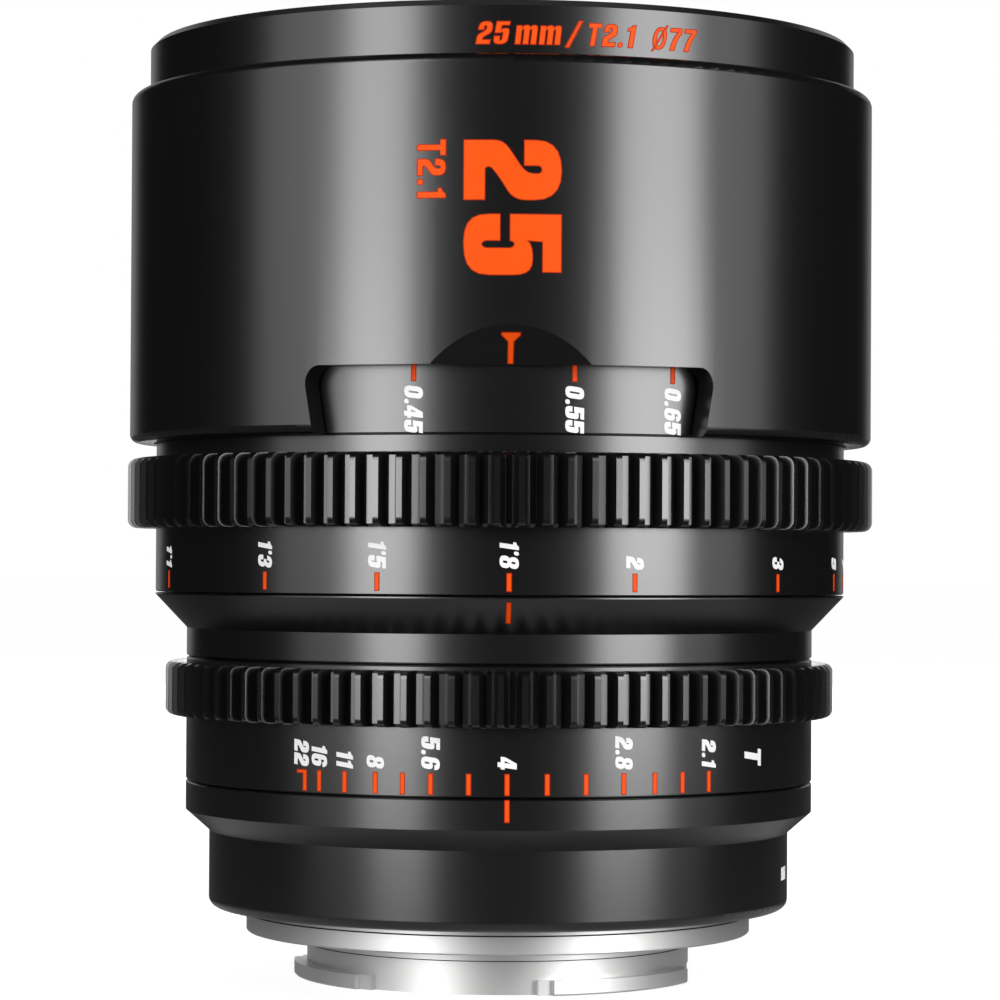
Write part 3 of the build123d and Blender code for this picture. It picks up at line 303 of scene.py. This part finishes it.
glyphs = {
    "0": (0.62, "M.31,0 C.52,0 .62,.1 .62,.3 L.62,.7 C.62,.9 .52,1 .31,1 C.1,1 0,.9 0,.7 L0,.3 "
                "C0,.1 .1,0 .31,0 Z M.26,.3 L.26,.7 C.26,.81 .36,.81 .36,.7 L.36,.3 "
                "C.36,.19 .26,.19 .26,.3 Z"),
    "1": (0.38, "M.13,0 L.38,0 L.38,1 L.2,1 C.18,.93 .11,.87 0,.86 L0,.7 L.13,.7 Z"),
    "2": (0.62, "M0,0 L.62,0 L.62,.225 L.297,.225 C.27,.25 .28,.28 .31,.3 C.38,.36 .45,.4 .53,.45 "
                "C.6,.5 .62,.56 .62,.64 L.62,.72 C.62,.9 .52,1 .32,1 C.1,1 0,.91 0,.74 L0,.61 "
                "L.27,.61 L.27,.76 C.275,.8 .335,.8 .34,.76 L.34,.7 C.34,.62 .24,.57 .15,.51 "
                "C.04,.44 0,.4 0,.3 Z"),
    "3": (0.63, "M0,.38 L0,.26 C0,.08 .1,0 .31,0 C.54,0 .63,.09 .63,.28 C.63,.4 .6,.48 .5,.52 "
                "C.58,.56 .62,.63 .62,.73 C.62,.92 .52,1 .31,1 C.1,1 0,.9 0,.66 L.25,.66 "
                "L.25,.76 C.255,.83 .365,.83 .37,.76 L.37,.7 C.37,.64 .33,.61 .26,.61 L.2,.61 "
                "L.2,.43 L.27,.43 C.35,.43 .38,.4 .38,.32 L.38,.25 C.375,.17 .255,.17 .25,.25 "
                "L.25,.38 Z"),
    "4": (0.65, "M.3,0 L.55,0 L.55,.16 L.65,.16 L.65,.37 L.55,.37 L.55,1 L.25,1 L0,.4 L0,.16 "
                "L.3,.16 Z M.3,.37 L.2,.37 L.3,.7 Z"),
    "5": (0.63, "M.3,0 C.53,0 .63,.08 .63,.26 L.63,.5 C.63,.65 .58,.71 .46,.71 C.37,.71 .32,.7 "
                ".28,.665 L.29,.8 L.6,.8 L.6,1 L0,1 L0,.47 L.28,.47 C.285,.53 .34,.53 .345,.47 "
                "L.345,.24 C.34,.18 .285,.18 .28,.24 L.28,.38 L0,.38 L0,.26 C0,.08 .08,0 .3,0 Z"),
    "6": (0.63, "M.63,.71 L.37,.71 L.37,.76 C.365,.83 .265,.83 .26,.76 L.26,.58 C.3,.61 .36,.63 "
                ".42,.63 C.57,.63 .63,.54 .63,.4 L.63,.3 C.63,.09 .53,0 .31,0 C.09,0 0,.1 0,.3 "
                "L0,.7 C0,.9 .1,1 .31,1 C.53,1 .63,.9 .63,.73 Z M.26,.24 C.265,.16 .365,.16 "
                ".37,.24 L.37,.39 C.365,.47 .265,.47 .26,.39 Z"),
    "7": (0.6, "M.1,0 L.36,0 C.38,.36 .46,.58 .6,.76 L.6,1 L0,1 L0,.79 L.35,.79 "
               "C.21,.6 .12,.35 .1,0 Z"),
    "8": (0.64, "M.32,0 C.54,0 .64,.08 .64,.27 C.64,.4 .6,.48 .52,.52 C.59,.56 .62,.63 .62,.74 "
                "C.62,.92 .53,1 .32,1 C.11,1 .02,.92 .02,.74 C.02,.63 .05,.56 .12,.52 "
                "C.04,.48 0,.4 0,.27 C0,.08 .1,0 .32,0 Z M.32,.17 C.27,.17 .255,.2 .255,.24 "
                "L.255,.34 C.255,.38 .27,.41 .32,.41 C.37,.41 .385,.38 .385,.34 L.385,.24 "
                "C.385,.2 .37,.17 .32,.17 Z M.32,.61 C.28,.61 .265,.64 .265,.68 L.265,.76 "
                "C.265,.8 .28,.83 .32,.83 C.36,.83 .375,.8 .375,.76 L.375,.68 "
                "C.375,.64 .36,.61 .32,.61 Z"),
    "9": (0.63, "M0,.29 L.26,.29 L.26,.24 C.265,.17 .365,.17 .37,.24 L.37,.42 C.33,.39 .27,.37 "
                ".21,.37 C.06,.37 0,.46 0,.6 L0,.7 C0,.91 .1,1 .32,1 C.54,1 .63,.9 .63,.7 "
                "L.63,.3 C.63,.1 .53,0 .32,0 C.1,0 0,.1 0,.27 Z M.37,.76 C.365,.84 .265,.84 "
                ".26,.76 L.26,.61 C.265,.53 .365,.53 .37,.61 Z"),
    ".": (0.24, "M.12,0 C.2,0 .24,.04 .24,.12 C.24,.2 .2,.24 .12,.24 C.04,.24 0,.2 0,.12 "
                "C0,.04 .04,0 .12,0 Z"),
    "'": (0.2, "M.1,.74 C.17,.74 .2,.79 .2,.87 C.2,.95 .17,1 .1,1 C.03,1 0,.95 0,.87 "
               "C0,.79 .03,.74 .1,.74 Z"),
    "/": (0.52, "M0,-.1 L.14,-.1 L.52,1.08 L.38,1.08 Z"),
    "T": (0.6, "M.18,0 L.42,0 L.42,.8 L.6,.8 L.6,1 L0,1 L0,.8 L.18,.8 Z"),
    "m": (1.0, "M0,0 L.29,0 L.29,.6 L.32,.65 L.355,.6 L.355,0 L.645,0 L.645,.6 L.68,.65 L.71,.6 "
               "L.71,0 L1,0 L1,.68 C1,.79 .95,.85 .84,.85 C.76,.85 .7,.83 .65,.78 "
               "C.6,.83 .54,.85 .47,.85 C.4,.85 .34,.83 .28,.78 L.28,.83 L0,.83 Z"),
    "o": (0.66, "M.33,0 C.55,0 .66,.2 .66,.5 C.66,.8 .55,1 .33,1 C.11,1 0,.8 0,.5 "
                "C0,.2 .11,0 .33,0 Z M.33,.19 C.24,.19 .2,.31 .2,.5 C.2,.69 .24,.81 .33,.81 "
                "C.42,.81 .46,.69 .46,.5 C.46,.31 .42,.19 .33,.19 Z"),
    "|": (0.66, "M.0,-.08 L.13,-.08 L.66,1.08 L.53,1.08 Z"),
    "Y": (1.0, "M.33,0 L.67,0 L.67,1.15 L1,1.46 L1,1.64 L0,1.64 L0,1.46 L.33,1.15 Z"),
}
letter_gap = 0.09
scale_slant = 0.14
curve_steps = 5


def curve_point(points, share):
    """A point on a cubic curve."""
    a, b, c, d = points
    rest = 1 - share
    return tuple(rest ** 3 * a[i] + 3 * rest ** 2 * share * b[i] + 3 * rest * share ** 2 * c[i]
                 + share ** 3 * d[i] for i in (0, 1))


def contours_of(path):
    """The closed outlines that a path describes."""
    contours = []
    outline = []
    words = path.split()
    at = 0
    while at < len(words):
        word = words[at]
        if word == "Z":
            contours.append(outline)
            at += 1
            continue
        point = tuple(float(part) for part in word.lstrip("MLC").split(","))
        if word[0] == "C":
            second = tuple(float(part) for part in words[at + 1].split(","))
            third = tuple(float(part) for part in words[at + 2].split(","))
            start = outline[-1]
            for step in range(1, curve_steps + 1):
                outline.append(curve_point((start, point, second, third), step / curve_steps))
            at += 3
            continue
        if word[0] == "M":
            outline = []
        outline.append(point)
        at += 1
    return contours


def line_of(text, height, slant=0.0, gap=letter_gap):
    """The outlines of a line of figures that tall, and how long the line is."""
    shapes = []
    reach = 0.0
    for letter in text:
        if letter == "|":
            reach -= glyphs[letter][0] + gap
        width, path = glyphs[letter]
        shapes.append([[((x + reach + slant * y) * height, y * height) for x, y in outline]
                       for outline in contours_of(path)])
        reach += width + gap
    return shapes, (reach - gap) * height


def bar(length, width):
    """A plain stroke along x, from the origin."""
    return [[(0.0, 0.0), (length, 0.0), (length, width), (0.0, width)]]


# Pieces


def show(name, verts, faces, material, body, slots=None):
    """Puts a closed shell in the scene as a piece that rides on a body."""
    mesh = bpy.data.meshes.new(name)
    mesh.from_pydata(verts, [], faces)
    if slots:
        mesh.polygons.foreach_set("material_index", slots)
        mesh.update()
    shell = bmesh.new()
    shell.from_mesh(mesh)
    bmesh.ops.recalc_face_normals(shell, faces=shell.faces)
    shell.to_mesh(mesh)
    shell.free()
    mesh.materials.append(material)
    # Orange prints take a second material, the painted groove shade for their border.
    if material is orange:
        mesh.materials.append(orange_groove_shade)
    piece = bpy.data.objects.new(name, mesh)
    bpy.context.scene.collection.objects.link(piece)
    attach(piece, body)


# Prints: thin solids of enamel that follow the barrel

print_lift = 0.02 * MM
print_sink = 0.06 * MM
print_step = 0.5 * MM
# Width of the border of painted groove shade round orange prints.
groove_shade_width = 0.1 * MM
merge_reach = 0.001 * MM


def wrapped(name, shapes, place, radius_at, material, body):
    """Lays flat shapes round the barrel. place turns a flat point into an angle and a height."""
    flat = bmesh.new()
    for outlines in shapes:
        loops = [[Vector((x, y, 0)) for x, y in outline] for outline in outlines]
        points = [flat.verts.new(point) for loop in loops for point in loop]
        for triangle in tessellate_polygon(loops):
            flat.faces.new([points[corner] for corner in triangle])
    bmesh.ops.remove_doubles(flat, verts=flat.verts, dist=merge_reach)
    # Painted shade: orange prints get a darker border, in place of the shaded walls of an engraved
    # groove.
    if material is orange:
        border = bmesh.ops.inset_region(flat, faces=flat.faces[:], thickness=groove_shade_width,
                                        use_even_offset=True, use_boundary=True)["faces"]
        for face in border:
            face.material_index = 1
    for axis in (0, 1):
        values = [vert.co[axis] for vert in flat.verts]
        cut = min(values) + print_step
        while cut < max(values):
            normal = Vector((0, 0, 0))
            normal[axis] = 1.0
            bmesh.ops.bisect_plane(flat, geom=flat.verts[:] + flat.edges[:] + flat.faces[:],
                                   plane_co=normal * cut, plane_no=normal)
            cut += print_step
    flat.verts.index_update()
    top = []
    foot = []
    for vert in flat.verts:
        angle, z = place(vert.co.x, vert.co.y)
        round_to = radians(angle - 90)
        for made, shift in ((top, print_lift), (foot, -print_sink)):
            reach = radius_at(z) + shift
            made.append((reach * cos(round_to), reach * sin(round_to), z))
    faces = []
    slots = []
    count = len(top)
    for face in flat.faces:
        corners = [vert.index for vert in face.verts]
        faces.append(corners)
        faces.append([corner + count for corner in reversed(corners)])
        slots += [face.material_index] * 2
        for loop in face.loops:
            if loop.edge.is_boundary:
                first, second = loop.vert.index, loop.link_loop_next.vert.index
                faces.append([second, first, first + count, second + count])
                slots.append(face.material_index)
    flat.free()
    show(name, top + foot, faces, material, body, slots)


def down_text(name, text, height, angle, foot_z, radius_at, material, body):
    """Figures turned a quarter to the right, so that they read downwards and end at foot_z."""
    shapes, length = line_of(text, height, scale_slant)
    length += scale_slant * height

    def place(x, y):
        z = foot_z + length - x
        return angle + (y - height / 2) / radius_at(z) * 180 / pi, z

    wrapped(name, shapes, place, radius_at, material, body)


def tick(name, angle, low, high, width, radius_at, material, body):
    """An upright stroke of a scale."""

    def place(x, y):
        return angle + (y - width / 2) / radius_at(low + x) * 180 / pi, low + x

    wrapped(name, [bar(high - low, width)], place, radius_at, material, body)


# Focus scale in feet, on the focus ring
feet_marks = (
    ("10", 86.8), ("7", 79.4), ("5", 69.7), ("3", 48.3), ("2", 19.7), ("1'8", 0.0),
    ("1'5", -20.5), ("1'3", -40.9), ("1'1", -70.2), ("1'0", -91.0), ("0'11", -118.0),
    ("0'10", -162.0),
)
feet_tick = (43.68 * MM, 45.64 * MM)
feet_foot = 45.95 * MM
feet_height = 2.0 * MM
tick_width = 0.58 * MM

for index, (text, angle) in enumerate(feet_marks, start=1):
    down_text(f"feet_figure_{index}", text, feet_height, angle, feet_foot, on(scale_radius), white,
              "focus_ring")
    tick(f"feet_tick_{index}", angle, *feet_tick, tick_width, on(scale_radius), orange,
         "focus_ring")

# Focus scale in metres, on the sleeve behind the window
metre_marks = (
    ("3", 86.5), ("1.5", 69.1), ("1", 52.4), ("0.8", 40.2), ("0.65", 26.0), ("0.55", 9.9),
    ("0.45", -14.8), ("0.4", -32.5), ("0.35", -57.4), ("0.3", -96.0), ("0.28", -117.0),
    ("0.25", -166.0),
)
metre_tick = (65.45 * MM, 67.6 * MM)
metre_head = 65.1 * MM

for index, (text, angle) in enumerate(metre_marks, start=1):
    _, length = line_of(text, feet_height)
    length += scale_slant * feet_height
    down_text(f"metre_figure_{index}", text, feet_height, angle, metre_head - length,
              on(scale_radius), white, "focus_ring")
    tick(f"metre_tick_{index}", angle, *metre_tick, tick_width, on(scale_radius), orange,
         "focus_ring")

# Aperture scale
stop_marks = (
    ("22", -37.5), ("16", -33.7), ("11", -28.6), ("8", -22.8), ("5.6", -13.0), ("4", 0.0),
    ("2.8", 20.3), ("2.1", 37.6),
)
stop_minors = (-17.9, -6.5, 6.8, 13.5, 26.2, 31.8)
stop_tick = (22.4 * MM, 24.69 * MM)
stop_foot = 24.95 * MM
stop_height = 2.0 * MM
letter_height = 3.0 * MM
letter_angle = 49.05
letter_foot = 24.87 * MM

for index, (text, angle) in enumerate(stop_marks, start=1):
    down_text(f"stop_figure_{index}", text, stop_height, angle, stop_foot, on(band_radius),
              white, "aperture_ring")
    if text != "22":
        tick(f"stop_tick_{index}", angle, *stop_tick, tick_width, on(band_radius), orange,
             "aperture_ring")
for index, angle in enumerate(stop_minors, start=1):
    tick(f"stop_minor_{index}", angle, *stop_tick, tick_width, on(band_radius), orange,
         "aperture_ring")
down_text("stop_letter", "T", letter_height, letter_angle, letter_foot, on(band_radius), white,
          "aperture_ring")

# The end of the aperture scale, a stroke with a short arm to its left
end_angle = -36.75
end_reach = 1.1 * MM
end_arm = 0.42 * MM
end_rise = stop_tick[1] - stop_tick[0]
end_half = tick_width / 2
end_shape = [(-end_half, 0.0), (end_half, 0.0), (end_half, end_rise), (-end_reach, end_rise),
             (-end_reach, end_rise - end_arm), (-end_half, end_rise - end_arm)]


def end_place(x, y):
    """The last stroke's place on the ring."""
    return end_angle + x / band_radius * 180 / pi, stop_tick[0] + y


wrapped("stop_end_tick", [[end_shape]], end_place, on(band_radius), orange, "aperture_ring")

# Fixed index lines
cone_foot_z = 39.2 * MM
cone_top_z = 42.95 * MM
focus_index = (40.34 * MM, 42.62 * MM)
stop_index = (19.59 * MM, 21.98 * MM)


def mid_cone(z):
    """The mid barrel's radius at a height."""
    share = min(max((z - cone_foot_z) / (cone_top_z - cone_foot_z), 0.0), 1.0)
    return band_radius + share * (scale_radius - band_radius)


tick("focus_index", 0.0, *focus_index, tick_width, mid_cone, orange, "housing")
tick("stop_index", 0.0, *stop_index, tick_width, on(band_radius), orange, "housing")


def scallop(z):
    """The radius of the scallop's slope in front of the index."""
    share = min(max((z - window_top) / scallop_rise, 0.0), 1.0)
    return body_bore + share * (body_radius - body_bore) + scallop_lift


funnel_width = 1.95 * MM
funnel_foot = 67.2 * MM


def funnel_place(x, y):
    """The window's index, on the slope of the scallop."""
    return (x - funnel_width / 2) / body_bore * 180 / pi, funnel_foot + y


shapes, _ = line_of("Y", funnel_width)
wrapped("window_index", shapes, funnel_place, scallop, orange, "housing")

# The white mark that meets the camera's
mount_index = (11.4 * MM, 12.85 * MM)
mount_index_angle = 74.8
mount_index_width = 2.6 * MM

tick("mount_index", mount_index_angle, *mount_index, mount_index_width, on(rear_radius), white,
     "housing")

# Focal length and stop on the body


def body_text(name, text, height, angle, top_z, foot_z, gap=letter_gap):
    """Figures turned a quarter to the right, and stretched to reach from top_z to foot_z."""
    shapes, length = line_of(text, height, gap=gap)
    stretch = (top_z - foot_z) / length

    def place(x, y):
        return angle + (y - height / 2) / body_radius * 180 / pi, top_z - x * stretch

    wrapped(name, shapes, place, on(body_radius), orange, "housing")


focal_height = 10.2 * MM
focal_angle = 0.1
focal_reach = (90.15 * MM, 76.18 * MM)
focal_gap = 0.135
small_height = 3.1 * MM
small_angle = -11.35
small_reach = (90.22 * MM, 84.1 * MM)

body_text("focal_figures", "25", focal_height, focal_angle, *focal_reach, focal_gap)
body_text("stop_on_body", "T2.1", small_height, small_angle, *small_reach)

# Figures on the front ring, each group with its first and last angle and its slant
ring_groups = (
    ("25", -5.5, -0.2, 0.18), ("mm", 0.3, 7.4, 0.12), ("/", 7.7, 10.75, 0.0),
    ("T2.1", 11.4, 19.0, 0.18), ("o|77", 21.2, 29.2, 0.18),
)
ring_height = 2.45 * MM
ring_foot = 100.2 * MM


def ring_text(name, text, start, end, slant):
    """Figures on the front ring, spread to reach from one angle to the other."""
    shapes, _ = line_of(text, ring_height, slant)
    across = [x for outlines in shapes for outline in outlines for x, _ in outline]
    left = min(across)
    degrees_each = (end - start) / (max(across) - left)

    def place(x, y):
        return start + (x - left) * degrees_each, ring_foot + y

    wrapped(name, shapes, place, on(ring_radius), orange, "housing")


for index, group in enumerate(ring_groups, start=1):
    ring_text(f"ring_figures_{index}", *group)

# Filter thread in the front ring

thread_root = 38.15 * MM
thread_crest = 37.85 * MM
thread_pitch = 0.75 * MM
thread_foot = 100.6 * MM
thread_top = 104.6 * MM
thread_steps = 96
root_half = 0.3 * MM
crest_half = 0.05 * MM
least_ease = 0.05


def make_thread():
    """A helical ridge with a slanted section, which eases in and out over a quarter turn."""
    count = int((thread_top - thread_foot) / thread_pitch * thread_steps)
    section = ((thread_root, -root_half), (thread_crest, -crest_half),
               (thread_crest, crest_half), (thread_root, root_half))
    quarter = thread_steps // 4
    size = len(section)
    verts = []
    faces = []
    for step in range(count + 1):
        angle = 2 * pi * step / thread_steps
        z = thread_foot + thread_pitch * step / thread_steps
        ease = min(step, count - step, quarter) / quarter
        for radius, lift in section:
            reach = thread_root + (radius - thread_root) * ease
            verts.append((reach * cos(angle), reach * sin(angle), z + lift * max(ease, least_ease)))
    for step in range(count):
        for corner in range(size):
            after = (corner + 1) % size
            faces.append((step * size + corner, step * size + after,
                          (step + 1) * size + after, (step + 1) * size + corner))
    faces.append(tuple(reversed(range(size))))
    faces.append(tuple(count * size + corner for corner in range(size)))
    show("filter_thread", verts, faces, black_satin, "housing")


make_thread()

# Thin dark lines on the mount: one in its flange, and one below its collar that is painted shadow
# where the collar shades the tube

dark_line_steps = 240
dark_line_depth = 0.2 * MM
dark_line_lift = 0.03 * MM
flange_dark_line = (28.55 * MM, 7.05 * MM, 0.16 * MM)
collar_shadow_line = (21.65 * MM, 3.64 * MM, 0.1 * MM)


def make_dark_line(name, radius, z, height):
    """A closed ring with four sides that stands a hair proud of the metal."""
    section = ((radius - dark_line_depth, z - height / 2), (radius + dark_line_lift, z - height / 2),
               (radius + dark_line_lift, z + height / 2), (radius - dark_line_depth, z + height / 2))
    size = len(section)
    verts = []
    faces = []
    for step in range(dark_line_steps):
        angle = 2 * pi * step / dark_line_steps
        ahead = (step + 1) % dark_line_steps
        verts.extend((reach * cos(angle), reach * sin(angle), level) for reach, level in section)
        for corner in range(size):
            after = (corner + 1) % size
            faces.append((step * size + corner, ahead * size + corner,
                          ahead * size + after, step * size + after))
    show(name, verts, faces, black_inner, "housing")


make_dark_line("flange_dark_line", *flange_dark_line)
# Painted shadow: a dark ring below the collar, where the collar's shadow falls on the tube.
make_dark_line("collar_shadow_line", *collar_shadow_line)

# Floor, backdrop and lights

floor_half = 6.0
floor_drop = 0.02 * MM
floor_tone = (0.25, 0.25, 0.25, 1)
near_bounce = (0.6, 0.6, 0.6)
far_bounce = (0.08, 0.08, 0.08)
bounce_reach = (45 * MM, 70 * MM)
glow = (0.86, 0.985)
glow_reach = (50 * MM, 600 * MM)


def make_floor():
    """A plain pale floor that gives less light back away from the lens."""
    mesh = bpy.data.meshes.new("floor")
    mesh.from_pydata([(-floor_half, -floor_half, 0), (floor_half, -floor_half, 0),
                      (floor_half, floor_half, 0), (-floor_half, floor_half, 0)],
                     [], [(0, 1, 2, 3)])
    material, tree, shader = new_material("pale_floor")
    camera_ray = tree.nodes.new("ShaderNodeLightPath").outputs["Is Camera Ray"]
    length = add_node(tree, "ShaderNodeVectorMath", operation="LENGTH")
    tree.links.new(plain_coordinates(tree), length.inputs[0])
    reach = length.outputs["Value"]
    bounce = tone_mix(tree, spread(tree, reach, 0.0, 1.0, *bounce_reach), near_bounce, far_bounce)
    mix = add_node(tree, "ShaderNodeMix", data_type="RGBA")
    tree.links.new(camera_ray, mix.inputs["Factor"])
    tree.links.new(bounce, mix.inputs["A"])
    mix.inputs["B"].default_value = floor_tone
    tree.links.new(mix.outputs["Result"], shader.inputs["Base Color"])
    shader.inputs["Roughness"].default_value = 0.7
    shader.inputs["Specular IOR Level"].default_value = 0.1
    shader.inputs["Emission Color"].default_value = (1, 1, 1, 1)
    seen_glow = add_node(tree, "ShaderNodeMath", operation="MULTIPLY")
    tree.links.new(spread(tree, reach, *glow, *glow_reach), seen_glow.inputs[0])
    tree.links.new(camera_ray, seen_glow.inputs[1])
    tree.links.new(seen_glow.outputs["Value"], shader.inputs["Emission Strength"])
    mesh.materials.append(material)
    floor = bpy.data.objects.new("floor", mesh)
    floor.location.z = -floor_drop
    bpy.context.scene.collection.objects.link(floor)


world_glow = (0.015, 1.0)

# Each light's name, azimuth, height, distance, width, height of its face, power and aim
lights = (
    ("left_box", -37.5, 0.225, 0.60, 0.235, 0.45, 2.2, 0.06),
    ("left_fill", -62.0, 0.225, 0.64, 0.375, 0.45, 0.72, 0.06),
    ("right_box", 45.0, 0.225, 0.60, 0.30, 0.45, 3.0, 0.06),
    ("right_fill", 75.0, 0.225, 0.64, 0.2, 0.45, 0.4, 0.06),
    ("left_low", -37.5, 0.045, 0.25, 0.098, 0.09, 0.075, 0.045),
    ("right_low", 45.0, 0.045, 0.25, 0.125, 0.09, 0.10, 0.045),
    ("top_box", 180.0, 0.75, 0.50, 0.50, 0.50, 2.5, 0.10),
    ("back_box", 180.0, 0.20, 0.90, 0.30, 0.70, 1.2, 0.06),
    ("left_edge", -165.0, 0.15, 0.90, 0.4, 0.9, 0.5, 0.06),
    ("right_edge", 165.0, 0.15, 0.90, 0.4, 0.9, 0.5, 0.06),
)


def make_light(name, azimuth, height, distance, width, tall, power, aim_z):
    """A soft box at an angle round the lens, counted to the right of the index."""
    data = bpy.data.lights.new(name, "AREA")
    data.shape = "RECTANGLE"
    data.size = width
    data.size_y = tall
    data.energy = power
    light = bpy.data.objects.new(name, data)
    light.visible_camera = False
    side = radians(azimuth)
    light.location = (distance * sin(side), -distance * cos(side), height)
    aim = Vector((0, 0, aim_z)) - light.location
    light.rotation_euler = aim.to_track_quat("-Z", "Y").to_euler()
    bpy.context.scene.collection.objects.link(light)


def make_world():
    """White behind the lens, and dim in what it reflects."""
    world = bpy.data.worlds.new("studio")
    world.use_nodes = True
    tree = world.node_tree
    shader = tree.nodes["Background"]
    path = tree.nodes.new("ShaderNodeLightPath")
    strength = spread(tree, path.outputs["Is Camera Ray"], *world_glow)
    tree.links.new(strength, shader.inputs["Strength"])
    shader.inputs["Color"].default_value = (1, 1, 1, 1)
    bpy.context.scene.world = world


make_floor()
make_world()
for light in lights:
    make_light(*light)
bpy.context.scene.view_settings.view_transform = "Standard"
